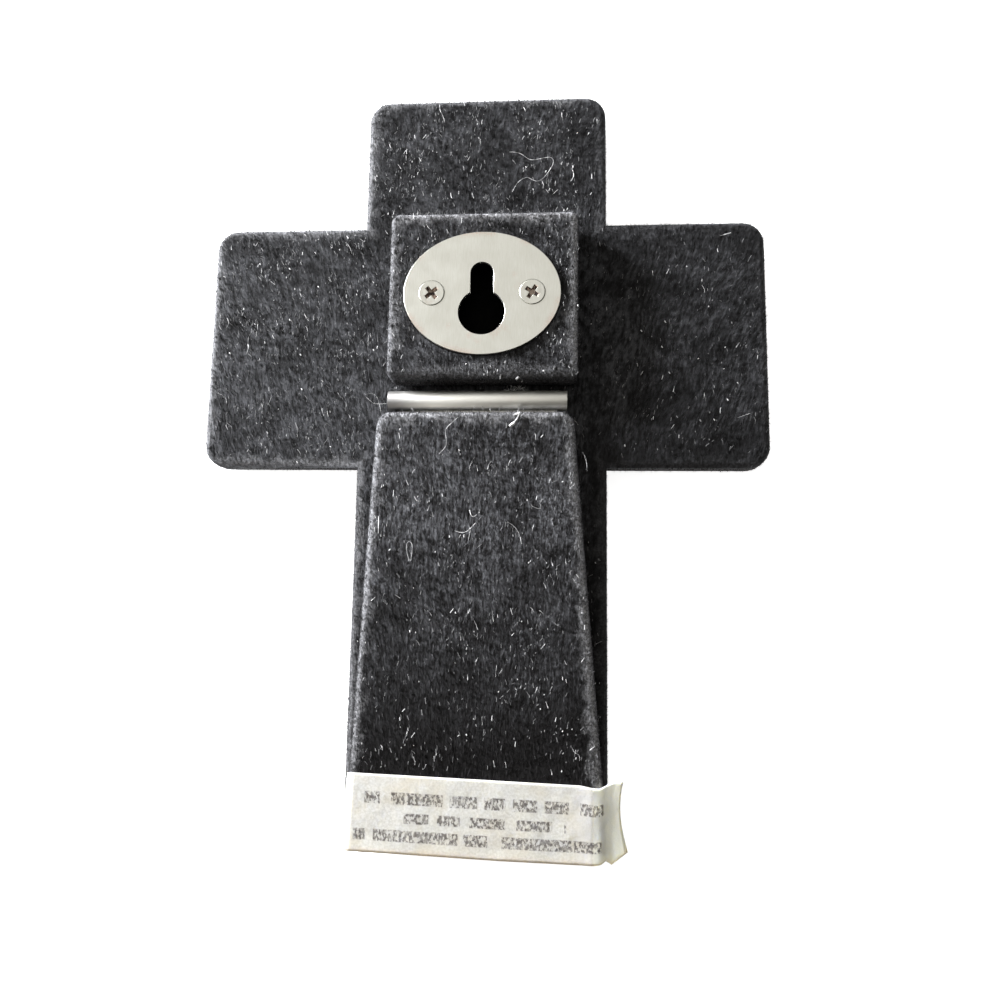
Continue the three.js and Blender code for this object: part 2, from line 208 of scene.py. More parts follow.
pewter = Finish("antique_pewter")
depth = pewter.node("ShaderNodeSeparateXYZ", Vector=pewter.position()).outputs["Z"]
grain = pewter.noise(pewter.position(), 1.6, 4, 0.6)
hollow = pewter.span(pewter.math("ADD", depth, pewter.math("MULTIPLY", grain, 0.5)), 0.35, 0.95)
pewter.set(
    Base_Color=pewter.mix(hollow, grey(0.36, 0.03), grey(0.035, 0.05)),
    Metallic=0.85,
    Roughness=pewter.span(hollow, 0, 1, 0.36, 0.65),
    Normal=pewter.bump(grain, 0.25, 0.0003),
)
show("front_plate", pewter)


# Back board
# The cross-shaped backing board, cut from fibreboard and covered with near-black velvet that
# is drawn over its rounded back edges. Its short pile leans along the cross and holds dust.

board_low, board_high = (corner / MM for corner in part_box("back_board"))
HALF_WIDTH = board_high.x
HALF_HEIGHT = board_high.y
UPRIGHT_HALF = 25.1
ARM_CENTRE = HALF_HEIGHT - 54.1
ARM_HALF = 25.45
BOARD_CORNER = 4.5
BOARD_EDGE = 1.3
BOARD_BACK = board_high.z
VELVET_SWELL = 0.42           # how far the velvet stands out round the board's outline
TOP_SWELL = 0.75              # the same at its top end
# How much of each outline's pale rim is kept: from here to here, to the right and then up, and the share at each
EVENLY = (100, 101, 1.0, 1.0)
EVEN_RIM = (EVENLY, EVENLY)
BOARD_RIM_SHADE = ((20, 26, 0.4, 0.06), EVENLY)         # its right-hand edges are hardly pale: a painted shade on the edges away from the light


def finished(name, bm, finish, smooth=True):
    """Turns a mesh in millimetres into an object in metres with its finish."""
    bmesh.ops.scale(bm, vec=(MM, MM, MM), verts=bm.verts)
    mesh = bpy.data.meshes.new(name)
    bm.to_mesh(mesh)
    bm.free()
    for polygon in mesh.polygons:
        polygon.use_smooth = smooth
    mesh.materials.append(finish.material)
    piece = bpy.data.objects.new(name, mesh)
    scene.collection.objects.link(piece)
    return piece


def apply_modifiers(piece):
    bpy.context.view_layer.update()
    evaluated = piece.evaluated_get(bpy.context.evaluated_depsgraph_get())
    mesh = bpy.data.meshes.new_from_object(evaluated)
    piece.modifiers.clear()
    piece.data = mesh
    return piece


def rounded_slab(corners, low, high, edge):
    """A slab of an outline of corners [x, y, radius], its outline and then its two rims rounded."""
    bm = bmesh.new()
    base = bm.faces.new([bm.verts.new((x, y, low)) for x, y, _ in corners])
    raised = bmesh.ops.extrude_face_region(bm, geom=[base])["geom"]
    top = [item for item in raised if isinstance(item, bmesh.types.BMVert)]
    bmesh.ops.translate(bm, vec=(0, 0, high - low), verts=top)
    bmesh.ops.recalc_face_normals(bm, faces=bm.faces)
    for radius in sorted({r for _, _, r in corners if r > 0}):
        places = [(x, y) for x, y, r in corners if r == radius]
        posts = [
            e for e in bm.edges
            if (e.verts[0].co - e.verts[1].co).xy.length < 1e-6
            and any((e.verts[0].co.xy - Vector(place)).length < 1e-4 for place in places)
        ]
        bmesh.ops.bevel(
            bm, geom=posts, offset=radius, segments=8, profile=0.5, affect="EDGES", material=-1,
        )
    rims = [
        e for e in bm.edges
        if abs(e.verts[0].co.z - e.verts[1].co.z) < 1e-6
        and any(abs(face.normal.z) > 0.9 for face in e.link_faces)
    ]
    bmesh.ops.bevel(bm, geom=rims, offset=edge, segments=6, profile=0.5, affect="EDGES", material=-1)
    return bm


def inside_boxes(finish, x, y, boxes):
    """How far a point lies inside an outline made of boxes, each with its middle x, its middle y,
    half its width at its top, half its height, and how far its middle and its half width move to
    the right for each millimetre down."""
    depth = None
    for middle_x, middle_y, half_x, half_y, lean, spread in boxes:
        down = finish.math("SUBTRACT", middle_y + half_y, y)
        offset = finish.math("SUBTRACT", x, finish.math("MULTIPLY_ADD", down, lean, middle_x))
        in_x = finish.math(
            "SUBTRACT", finish.math("MULTIPLY_ADD", down, spread, half_x), finish.math("ABSOLUTE", offset),
        )
        in_y = finish.math("SUBTRACT", half_y, finish.math("ABSOLUTE", finish.math("SUBTRACT", y, middle_y)))
        here = finish.math("MINIMUM", in_x, in_y)
        depth = here if depth is None else finish.math("MAXIMUM", depth, here)
    return depth


def velvet(name, top, boxes=None, rim_fade=EVEN_RIM, lightness=1.0):
    """Near-black velvet. Streaks of lighter pile run along the cross, a little fanned out on the
    arms, in cloudy patches, and the rounded edges are pale, partly rubbed and partly a painted
    highlight. A skin has its outline's boxes and where its pale rim lessens, and on the pile, which
    has none, each hair has its own tone. The walls below top are darker, a painted shade, and
    lightness lightens it all."""
    finish = Finish(name)
    plain = finish.position()
    parts = finish.node("ShaderNodeSeparateXYZ", Vector=plain)
    x, y, z = (parts.outputs[axis] for axis in "XYZ")
    # The fan: on the arms the streaks lean outwards as they go up
    fan = finish.math("MULTIPLY", finish.math("MULTIPLY", x, FAN), finish.math("SUBTRACT", y, ARM_CENTRE))
    sway = finish.math("MULTIPLY", finish.math("SUBTRACT", finish.noise(plain, 0.05, 1), 0.5), 6.0)
    across = finish.math("ADD", finish.math("SUBTRACT", x, fan), sway)
    combed = finish.node("ShaderNodeCombineXYZ", X=across, Y=y, Z=z).outputs[0]
    stretch = finish.node("ShaderNodeMapping", Vector=combed, Scale=(1.7, 0.5, 1.7)).outputs[0]
    streaks = finish.noise(stretch, 1.0, 3, 0.6)
    flecks = finish.noise(stretch, 2.6, 2, 0.7)
    clouds = finish.noise(plain, 0.12, 4, 0.62)
    mottle = finish.noise(combed, 0.6, 4, 0.7)
    patch = finish.span(clouds, 0.3, 0.7, 0.35, 1.65)
    patch = finish.math("MULTIPLY", patch, finish.span(mottle, 0.32, 0.68, 0.4, 1.6))
    # The pile is lighter about the hinge and darker towards the foot and the top. The right arm gets a painted shade,
    # and its lower part and the strip beside the leg a deeper painted shadow of the leg and block.
    patch = finish.math("MULTIPLY", patch, finish.span(y, *FOOT_FADE, smooth=False))
    patch = finish.math("MULTIPLY", patch, finish.span(y, *TOP_FADE, smooth=False))
    # A painted shade over the right arm
    patch = finish.math("MULTIPLY", patch, finish.span(x, *RIGHT_ARM_SHADE))
    # A painted shadow of the leg and block over the right arm's lower part and beside the leg
    lower = finish.math("MAXIMUM", finish.span(y, *LOWER_RIGHT_SHADOW), finish.span(x, 18, 26, 1.0, 0.0))
    patch = finish.math("MULTIPLY", patch, lower)
    # The side walls are darker: a painted shade
    patch = finish.math("MULTIPLY", patch, finish.span(z, top - 1.7, top - 0.7, WALL_SHADE, 1.0))
    tone = finish.math("MULTIPLY", finish.span(streaks, 0.25, 0.82), patch)
    colour = finish.mix(tone, *((*(lightness * part for part in c), 1) for c in (VELVET_DARK, VELVET_LIT)))
    sparks = finish.math("MULTIPLY", finish.span(flecks, 0.64, 0.78), patch)
    colour = finish.mix(finish.math("MULTIPLY", sparks, 0.22), colour, VELVET_PALE)
    if boxes is None:
        pale = finish.node("ShaderNodeAttribute", {"attribute_name": "pale"}).outputs["Fac"]
        pale = finish.math("MULTIPLY", pale, finish.span(patch, 0.1, 1.6, 0.2, 1.4))
        pale_rim = finish.node("ShaderNodeAttribute", {"attribute_name": "pale_rim"}).outputs["Fac"]
        colour = finish.mix(finish.math("MAXIMUM", pale, pale_rim), colour, VELVET_PALE)
    else:
        edge = finish.node("ShaderNodeAttribute", {"attribute_name": "pale_rim"}).outputs["Fac"]
        reach = finish.span(finish.noise(plain, 0.3, 2), 0.3, 0.7, 0.6 * RIM_REACH, 1.4 * RIM_REACH)
        depth = finish.math("DIVIDE", inside_boxes(finish, x, y, boxes), reach)
        band = finish.math("MULTIPLY", finish.span(depth, 0.1, 1, 0.95, 0.0), finish.span(x, *rim_fade[0]))
        band = finish.math("MULTIPLY", band, finish.span(y, *rim_fade[1]))
        band = finish.math("MULTIPLY", band, finish.span(z, top - 1.0, top - 0.1))
        fuzz = finish.span(finish.noise(plain, 2.2, 3, 0.7), 0.3, 0.7, 0.15, 0.8)
        colour = finish.mix(
            finish.math("MULTIPLY", finish.math("MAXIMUM", edge, band), fuzz), colour, VELVET_PALE,
        )
        finish.set(Normal=finish.bump(streaks, 0.6, 0.0004))
    finish.set(Base_Color=colour, Roughness=0.85, Specular_IOR_Level=0.15)
    finish.set(Sheen_Weight=0.04 if boxes is None else 0.14, Sheen_Roughness=0.45)
    finish.set(Sheen_Tint=(0.92, 0.93, 1.0, 1))
    return finish


FAN = 0.006                   # sideways lean of the pile for each millimetre from the middle
FOOT_FADE = (-58, -5, 0.0, 1.4)     # from here up to here, and the share of the lighter tone at each
TOP_FADE = (10, 52, 1.0, 0.55)
RIGHT_ARM_SHADE = (16, 44, 1.0, 0.72)     # the same, from left to right: a painted shade over the right arm
LOWER_RIGHT_SHADOW = (-4, 24, 0.3, 1.0)     # a painted shadow of the leg and block on the right arm, up from its lower edge
WALL_SHADE = 0.25
VELVET_DARK = (0.0050, 0.0046, 0.0046)
VELVET_LIT = (0.064, 0.065, 0.070)
VELVET_PALE = (0.60, 0.60, 0.62, 1)
RIM_REACH = 2.9               # how far in from an outline the pile is pale


def rim_paleness(out):
    """How pale the pile is, from where its surface faces: nothing on the flat face, most on the
    rounded edge, none on the side walls. It is partly rubbed wear and partly a painted highlight:
    more where the edge faces the top end, less where it faces the left."""
    edge = np.clip((0.995 - out[:, 2]) / 0.1, 0, 1)
    edge *= np.clip((out[:, 2] - 0.35) / 0.5, 0, 1)
    return edge * (0.6 + 0.6 * np.maximum(0, out[:, 1]) - 0.45 * np.maximum(0, -out[:, 0]))


def edge_distance(points, corners):
    """How far points lie, seen from above, from the nearest side of an outline."""
    nearest = np.full(len(points), np.inf)
    for (ax, ay, _), (bx, by, _) in zip(corners, corners[1:] + corners[:1]):
        start, side = np.array((ax, ay)), np.array((bx - ax, by - ay))
        along = np.clip((points[:, :2] - start) @ side / (side @ side), 0, 1)
        nearest = np.minimum(nearest, np.linalg.norm(points[:, :2] - start - along[:, None] * side, axis=1))
    return nearest


def rim_share(points, rim_fade):
    return np.prod([np.interp(points[:, axis], rim_fade[axis][:2], rim_fade[axis][2:]) for axis in (0, 1)], axis=0)


def pale_rim_at(points, out, corners, rim_fade):
    """How pale the pile is at points of a skin, partly rubbed and partly a painted highlight: on
    its rounded edge and, fading, in a band beside it whose width wanders. rim_fade says where it
    lessens."""
    wide = np.array([noise.noise(Vector((x * 0.3, y * 0.3, 7))) for x, y, _ in points])
    band = 1 - edge_distance(points, corners) / (RIM_REACH * (1 + 0.8 * wide))
    share = np.maximum(rim_paleness(out), np.clip(1.3 * band, 0, 1) * (out[:, 2] > 0.9))
    return share * rim_share(points, rim_fade)


def mark_pale_rim(skin, rim_fade=EVEN_RIM):
    """Stores the pale rim share of each face of a velvet skin, and shades its flat faces flat."""
    normals = np.array([face.normal[:] for face in skin.data.polygons])
    centres = np.array([face.center[:] for face in skin.data.polygons]) / MM
    share = rim_paleness(normals) * rim_share(centres, rim_fade)
    pale_rim = skin.data.attributes.new("pale_rim", "FLOAT", "FACE")
    pale_rim.data.foreach_set("value", share.astype(np.float32))
    flatten(skin)


def flatten(piece):
    """Shades the level faces of a piece flat, so that its rounded edges don't tint them."""
    for face in piece.data.polygons:
        if abs(face.normal.z) > 0.999:
            face.use_smooth = False


def grow_pile(name, skin, corners, count, seed, bare, finish, rim_fade=EVEN_RIM):
    """Hairs of pile scattered over a skin, denser and paler along its pale outline, partly rubbed
    and partly a painted highlight: thin three-sided spikes that lean along the cross. bare says
    which points stay without pile."""
    rng = np.random.default_rng(seed)
    mesh = skin.data
    mesh.calc_loop_triangles()
    places = np.empty(len(mesh.vertices) * 3)
    mesh.vertices.foreach_get("co", places)
    places = places.reshape(-1, 3) / MM
    triangles = np.array([t.vertices for t in mesh.loop_triangles])
    a, b, c = (places[triangles[:, i]] for i in range(3))
    normals = np.cross(b - a, c - a)
    areas = np.linalg.norm(normals, axis=1)
    normals = normals / np.maximum(areas, 1e-12)[:, None]
    spare = 3 * count
    pick = rng.choice(len(triangles), spare, p=areas / areas.sum())
    u, v = rng.random((2, spare))
    flip = u + v > 1
    u[flip], v[flip] = 1 - u[flip], 1 - v[flip]
    roots = a[pick] + (b - a)[pick] * u[:, None] + (c - a)[pick] * v[:, None]
    out = normals[pick]
    pale_rim = pale_rim_at(roots, out, corners, rim_fade)
    chance = rng.random(spare) ** (1 / (1 + 4 * pale_rim))
    chance[bare(roots, out) | (out[:, 2] < -0.3)] = 0
    chosen = np.argsort(-chance)[:count]
    roots, out, pale_rim = roots[chosen], out[chosen], pale_rim[chosen]

    # Most hairs are dark, about a fifth are grey, a few catch dust, and those on the pale rim are pale, partly rubbed
    # and partly a painted highlight
    draw, share = rng.random((2, count))
    pale = 0.03 * share
    pale = np.where(draw > 0.62, 0.02 + 0.08 * share, pale)
    pale = np.where(draw > 0.94, 0.07 + 0.33 * share, pale)
    pale_rim = pale_rim * (0.05 + 0.75 * rng.random(count) ** 1.5)

    wander = rng.normal(0, 0.3, (count, 3))
    comb = np.stack([roots[:, 0] * FAN, np.ones(count), np.zeros(count)], 1)
    comb *= np.where(rng.random(count) < 0.75, 1, -1)[:, None]
    comb -= out * np.sum(comb * out, 1)[:, None]
    way = out * 0.4 + comb * 0.8 + wander
    way /= np.linalg.norm(way, axis=1)[:, None]
    rise = np.sum(way * out, 1)
    way += out * np.maximum(0.15 - rise, 0)[:, None]
    length = rng.uniform(0.5, 1.15, count) * np.where(out[:, 2] > 0.5, 1, 0.5)
    side = np.cross(way, out + 1e-3)
    side /= np.maximum(np.linalg.norm(side, axis=1), 1e-9)[:, None]
    across = np.cross(side, way)
    across /= np.maximum(np.linalg.norm(across, axis=1), 1e-9)[:, None]
    half = (rng.uniform(0.04, 0.075, count) * np.where(draw > 0.95, 1.5, 1))[:, None]
    foot = roots - out * 0.05
    spike = np.stack([
        foot + side * half, foot - side * half * 0.5 + across * half * 0.87,
        foot - side * half * 0.5 - across * half * 0.87, foot + way * length[:, None],
    ], 1)
    faces = np.array([[0, 1, 3], [1, 2, 3], [2, 0, 3], [0, 2, 1]])
    turned = np.einsum(
        "ij,ij->i", np.cross(spike[:, 1] - spike[:, 0], spike[:, 3] - spike[:, 0]), spike[:, 0] - spike[:, 2],
    ) < 0
    all_faces = np.arange(count)[:, None, None] * 4 + faces[None]
    all_faces[turned] = all_faces[turned][:, :, ::-1]

    pile_mesh = bpy.data.meshes.new(name)
    pile_mesh.from_pydata((spike.reshape(-1, 3) * MM).tolist(), [], all_faces.reshape(-1, 3).tolist())
    # The foot of a hair lies deep in the pile and gets a painted shade, so it is darker than its tip
    for key, tone in (("pale", pale), ("pale_rim", pale_rim)):
        shade = np.stack([tone * 0.4] * 3 + [tone], 1).reshape(-1).astype(np.float32)
        pile_mesh.attributes.new(key, "FLOAT", "POINT").data.foreach_set("value", shade)
    pile_mesh.materials.append(finish.material)
    pile = bpy.data.objects.new(name, pile_mesh)
    scene.collection.objects.link(pile)
    return pile


def cross_corners():
    x1, x2 = UPRIGHT_HALF + VELVET_SWELL, HALF_WIDTH + VELVET_SWELL
    low, high = ARM_CENTRE - ARM_HALF - VELVET_SWELL, ARM_CENTRE + ARM_HALF + VELVET_SWELL
    foot, top = -HALF_HEIGHT - VELVET_SWELL, HALF_HEIGHT + TOP_SWELL
    r = BOARD_CORNER
    return [
        (-x1, foot, r), (x1, foot, r), (x1, low, 0), (x2, low, r), (x2, high, r), (x1, high, 0),
        (x1, top, r), (-x1, top, r), (-x1, high, 0), (-x2, high, r), (-x2, low, r), (-x1, low, 0),
    ]


board_skin = velvet("board_skin", BOARD_BACK, [
    (0, 0, UPRIGHT_HALF + VELVET_SWELL, HALF_HEIGHT + TOP_SWELL, 0, 0),
    (0, ARM_CENTRE, HALF_WIDTH + VELVET_SWELL, ARM_HALF + VELVET_SWELL, 0, 0),
], BOARD_RIM_SHADE)
board = finished(
    "board_velvet", rounded_slab(cross_corners(), board_low.z, board_high.z, BOARD_EDGE), board_skin,
)
mark_pale_rim(board, BOARD_RIM_SHADE)
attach(board, "root")
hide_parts("back_board")
block_low, block_high = (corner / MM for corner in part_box("hanger_block"))


def under_block(points, out):
    """Points on the board that the block covers."""
    inside = (points[:, 0] > block_low.x + 1) & (points[:, 0] < block_high.x - 1)
    inside &= (points[:, 1] > block_low.y + 1) & (points[:, 1] < block_high.y - 1)
    return inside & (out[:, 2] > 0.9)


board_pile = grow_pile(
    "board_pile", board, cross_corners(), 49000, 11, under_block, velvet("board_hairs", BOARD_BACK), BOARD_RIM_SHADE,
)
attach(board_pile, "root")


# Hanger block
# A small velvet-covered block glued on the crossing. It is hollow behind the keyhole, so that
# a wall screw's head has room, and the oval plate is pressed a little into its face.
PLATE_CENTRE = Vector((0.4, ARM_CENTRE + 7.95))
PLATE_HALF = Vector((15.7, 12.7))
PLATE_SEAT = 0.5
KEYHOLE_RADIUS = 4.65
KEYHOLE_DROP = 4.0            # the keyhole's round end below the plate's centre
SLOT_HALF = 2.3
SLOT_TOP = 6.35               # the slot's end above the plate's centre
CAVITY_HALF = 5.7
BLOCK_SWELL = 0.35            # how far its velvet stands out at its top end
BLOCK_LIGHTNESS = 1.2             # its velvet is this much lighter than the board's
# Its pale rim lessens to the left, and towards its lower edge as a painted shade
BLOCK_RIM_FADE = ((block_low.x + 0.5, block_low.x + 4, 0.35, 1.0), (block_low.y + 1, block_low.y + 4, 0.25, 1.0))


def oval(bm, centre, half, low, high, steps=128):
    """A closed oval disc."""
    made = bmesh.ops.create_circle(bm, cap_ends=True, segments=steps, radius=1)["verts"]
    bmesh.ops.scale(bm, vec=(half[0], half[1], 1), verts=made)
    bmesh.ops.translate(bm, vec=(centre[0], centre[1], low), verts=made)
    faces = [f for f in bm.faces if all(v in made for v in f.verts)]
    raised = bmesh.ops.extrude_face_region(bm, geom=faces)["geom"]
    top = [item for item in raised if isinstance(item, bmesh.types.BMVert)]
    bmesh.ops.translate(bm, vec=(0, 0, high - low), verts=top)
    bmesh.ops.recalc_face_normals(bm, faces=bm.faces)


def cut(piece, bm):
    """Cuts a shape in millimetres out of a piece."""
    tool = finished("cutter", bm, board_skin)
    step = piece.modifiers.new("cut", "BOOLEAN")
    step.operation, step.object, step.solver = "DIFFERENCE", tool, "EXACT"
    apply_modifiers(piece)
    bpy.data.objects.remove(tool)


block_middle = (block_low + block_high) / 2
block_corners = [(x, y, 1.6) for x, y in (
    (block_low.x, block_low.y), (block_high.x, block_low.y),
    (block_high.x, block_high.y + BLOCK_SWELL), (block_low.x, block_high.y + BLOCK_SWELL),
)]
block_size = block_high - block_low
block_skin = velvet("block_skin", block_high.z, [
    (block_middle.x, block_middle.y + BLOCK_SWELL / 2, block_size.x / 2, (block_size.y + BLOCK_SWELL) / 2, 0, 0),
], BLOCK_RIM_FADE, BLOCK_LIGHTNESS)
block = finished("block_velvet", rounded_slab(block_corners, block_low.z, block_high.z, 1.2), block_skin)
seat = bmesh.new()
oval(seat, PLATE_CENTRE, PLATE_HALF + Vector((0.2, 0.2)), block_high.z - PLATE_SEAT, block_high.z + 2)
cut(block, seat)
cavity = rounded_slab(
    [(PLATE_CENTRE.x + dx, PLATE_CENTRE.y + dy, CAVITY_HALF - 0.1) for dx, dy in (
        (-CAVITY_HALF, -KEYHOLE_DROP - CAVITY_HALF), (CAVITY_HALF, -KEYHOLE_DROP - CAVITY_HALF),
        (CAVITY_HALF, SLOT_TOP + 3.4), (-CAVITY_HALF, SLOT_TOP + 3.4),
    )], block_low.z + 1.5, block_high.z + 1, 0.05,
)
cut(block, cavity)
mark_pale_rim(block, BLOCK_RIM_FADE)
# The hollow behind the keyhole is bare black card
hollow_card = Finish("hollow_card")
hollow_card.set(Base_Color=grey(0.003), Roughness=1.0, Specular_IOR_Level=0.0)
block.data.materials.append(hollow_card.material)
for face in block.data.polygons:
    place = face.center / MM
    beside = abs(place.x - PLATE_CENTRE.x) < CAVITY_HALF + 0.05
    if beside and place.z < block_high.z - PLATE_SEAT - 0.01 and -0.1 < face.normal.z < 1.1 and place.z > block_low.z + 1:
        if abs(place.y - PLATE_CENTRE.y) < SLOT_TOP + 3.5 + 0.05:
            face.material_index = 1
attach(block, "root")
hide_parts("hanger_block")


def under_plate(points, out):
    """Points in the plate's seat and in the cavity."""
    reach = ((points[:, 0] - PLATE_CENTRE.x) / (PLATE_HALF.x - 0.1)) ** 2
    reach += ((points[:, 1] - PLATE_CENTRE.y) / (PLATE_HALF.y - 0.1)) ** 2
    return (reach < 1.0) | (out[:, 2] < -0.1)


block_pile = grow_pile(
    "block_pile", block, block_corners, 10500, 12, under_plate,
    velvet("block_hairs", block_high.z, lightness=BLOCK_LIGHTNESS), BLOCK_RIM_FADE,
)
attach(block_pile, "root")


# Hanger plate
# A stamped oval of dull steel with a keyhole and two countersunk screw holes.
PLATE_LOW, PLATE_HIGH = (corner.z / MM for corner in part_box("hanger_plate"))
SCREW_OFFSET = 10.05
SCREW_HEAD = 2.55


def steel_finish(name, along=(0, 1, 0), mottle=0.0, rough=0.31, rusty=None):
    """Dull pale steel: fine rolled grain one way, tiny pits, and a few faint rusty traces. mottle
    adds cloudy tarnish, and rusty (a middle and half sizes) rust near an oval outline."""
    finish = Finish(name)
    scale = tuple(0.45 if axis else 4 for axis in along)
    grain = finish.noise(finish.position(scale), 1, 4, 0.75)
    clouds = finish.noise(finish.position(), 0.3, 3, 0.6)
    shade = finish.mix(finish.span(grain, 0.3, 0.7), STEEL_DULL, STEEL_PALE)
    shade = finish.mix(finish.span(clouds, 0.45, 0.75, 0.0, mottle), shade, STEEL_TARNISH)
    rust = finish.span(finish.noise(finish.position(), 0.21, 2, 0.5), 0.60, 0.70, 0.0, 0.5)
    if rusty:
        place = finish.node("ShaderNodeSeparateXYZ", Vector=finish.position())
        squares = []
        for axis, middle, half in zip("XY", *rusty):
            part = finish.math("DIVIDE", finish.math("SUBTRACT", place.outputs[axis], middle), half)
            squares.append(finish.math("MULTIPLY", part, part))
        near = finish.span(finish.math("ADD", *squares), 0.8, 1.0, 0.0, 0.9)
        wide = finish.span(finish.noise(finish.position(), 0.16, 2, 0.5), 0.42, 0.6)
        rust = finish.math("MAXIMUM", rust, finish.math("MULTIPLY", near, wide))
    rust = finish.math("MULTIPLY", rust, finish.span(finish.noise(finish.position(), 3.0, 3, 0.7), 0.3, 0.7))
    shade = finish.mix(finish.math("MULTIPLY", rust, 0.5), shade, STEEL_RUST)
    pits = finish.span(finish.noise(finish.position(), 5.5, 2, 0.6), 0.70, 0.80)
    shade = finish.mix(finish.math("MULTIPLY", pits, 0.3), shade, STEEL_TARNISH)
    finish.set(
        Base_Color=shade, Metallic=1.0, Roughness=finish.span(clouds, 0.3, 0.75, rough, rough + 0.06),
        Normal=finish.bump(grain, 0.08, 0.0001),
    )
    return finish


STEEL_PALE = (0.74, 0.74, 0.69, 1)
STEEL_DULL = (0.68, 0.68, 0.62, 1)
STEEL_TARNISH = (0.36, 0.34, 0.30, 1)
STEEL_RUST = (0.62, 0.33, 0.24, 1)
plate_steel = steel_finish("plate_steel", rusty=(PLATE_CENTRE, PLATE_HALF))
outline = bmesh.new()
oval(outline, PLATE_CENTRE, PLATE_HALF, PLATE_LOW, PLATE_HIGH)
plate = finished("keyhole_plate", outline, plate_steel)
keyhole = bmesh.new()
oval(
    keyhole, PLATE_CENTRE - Vector((0, KEYHOLE_DROP)), (KEYHOLE_RADIUS, KEYHOLE_RADIUS),
    PLATE_LOW - 1, PLATE_HIGH + 1, 64,
)
cut(plate, keyhole)
slot_corners = [
    (-SLOT_HALF, -KEYHOLE_DROP, 0), (SLOT_HALF, -KEYHOLE_DROP, 0),
    (SLOT_HALF, SLOT_TOP, SLOT_HALF - 0.02), (-SLOT_HALF, SLOT_TOP, SLOT_HALF - 0.02),
]
cut(plate, rounded_slab(
    [(PLATE_CENTRE.x + x, PLATE_CENTRE.y + y, r) for x, y, r in slot_corners],
    PLATE_LOW - 1, PLATE_HIGH + 1, 0.02,
))
for side in (-1, 1):
    sink = bmesh.new()
    bmesh.ops.create_cone(
        sink, cap_ends=True, segments=48, radius1=SCREW_HEAD - 1.35, radius2=SCREW_HEAD + 0.09, depth=1.4,
        matrix=Matrix.Translation((PLATE_CENTRE.x + side * SCREW_OFFSET, PLATE_CENTRE.y, PLATE_HIGH - 0.69)),
    )
    cut(plate, sink)
rim = plate.modifiers.new("rim", "BEVEL")
rim.width, rim.segments, rim.limit_method, rim.angle_limit = 0.22 * MM, 3, "ANGLE", math.radians(35)
apply_modifiers(plate)
flatten(plate)
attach(plate, "root")
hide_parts("hanger_plate")


# Plate screws
# Two countersunk crosshead wood screws, turned to different angles and a little worn.
SCREW_TURNS = {"left": 40, "right": 58}
screw_steel = steel_finish("screw_steel", mottle=0.3)
recess_grime = Finish("recess_grime")
recess_grime.set(
    Base_Color=recess_grime.mix(
        recess_grime.span(recess_grime.noise(recess_grime.position(), 1.5, 2), 0.4, 0.62),
        (0.06, 0.045, 0.04, 1), (0.6, 0.5, 0.42, 1),
    ),
    Metallic=0.5, Roughness=0.7,
)

for side, turn in SCREW_TURNS.items():
    node = f"plate_screw_{side}"
    low, high = (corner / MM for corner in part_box(node))
    place = (low + high) / 2
    profile = [
        (0, low.z), (0.6, low.z + 0.9), (1.1, low.z + 2), (1.1, PLATE_LOW - 0.4), (1.5, PLATE_LOW),
        (SCREW_HEAD - 0.05, PLATE_HIGH - 0.14), (SCREW_HEAD, PLATE_HIGH + 0.04), (SCREW_HEAD - 0.1, PLATE_HIGH + 0.13),
        (SCREW_HEAD * 0.86, PLATE_HIGH + 0.1), (SCREW_HEAD * 0.5, PLATE_HIGH + 0.16), (0, PLATE_HIGH + 0.18),
    ]
    bm = bmesh.new()
    line = [bm.verts.new((r, 0, z)) for r, z in profile]
    edges = [bm.edges.new(pair) for pair in zip(line, line[1:])]
    bmesh.ops.spin(
        bm, geom=line + edges, cent=(0, 0, 0), axis=(0, 0, 1), angle=math.tau, steps=40, use_merge=True,
    )
    bmesh.ops.remove_doubles(bm, verts=bm.verts, dist=1e-4)
    bmesh.ops.recalc_face_normals(bm, faces=bm.faces)
    bmesh.ops.translate(bm, vec=(place.x, place.y, 0), verts=bm.verts)
    screw = finished(f"screw_{side}", bm, screw_steel)
    screw.data.materials.append(recess_grime.material)
    for quarter in (0, 90):
        arm = bmesh.new()
        bmesh.ops.create_cube(arm, size=1)
        bmesh.ops.scale(arm, vec=(3.9, 0.82, 1.5), verts=arm.verts)
        for vertex in arm.verts:
            if vertex.co.z < 0:
                vertex.co.x *= 0.55
        bmesh.ops.rotate(arm, matrix=Matrix.Rotation(math.radians(turn + quarter), 3, "Z"), verts=arm.verts)
        bmesh.ops.translate(arm, vec=(place.x, place.y, PLATE_HIGH + 0.15), verts=arm.verts)
        cut(screw, arm)
    for face in screw.data.polygons:
        sunk = face.center.z / MM < PLATE_HIGH - 0.02 and (face.center / MM - place).xy.length < 1.7
        if sunk and face.center.z / MM > PLATE_HIGH - 1.2:
            face.material_index = 1
    soft = screw.modifiers.new("soft", "BEVEL")
    soft.width, soft.segments, soft.limit_method, soft.angle_limit = 0.07 * MM, 2, "ANGLE", math.radians(40)
    apply_modifiers(screw)
    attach(screw, "root")
    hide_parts(node)


# Hinge
# One strip of dull steel rolled into a full-width barrel round a pin. Its two ends lie together
# as a leaf in the leg, and the pin's neck goes down through a slit into the board.
HINGE = Vector(frame["joints"][0]["pos_m"]) / MM
BARREL_RADIUS = 2.1
BARREL_BORE = 1.7
barrel_low, barrel_high = (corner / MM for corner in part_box("hinge_barrel"))

HINGE_PALE = (0.97, 0.955, 0.90, 1)
hinge_steel = steel_finish("hinge_steel", along=(1, 0, 0), mottle=0.15, rough=0.5)
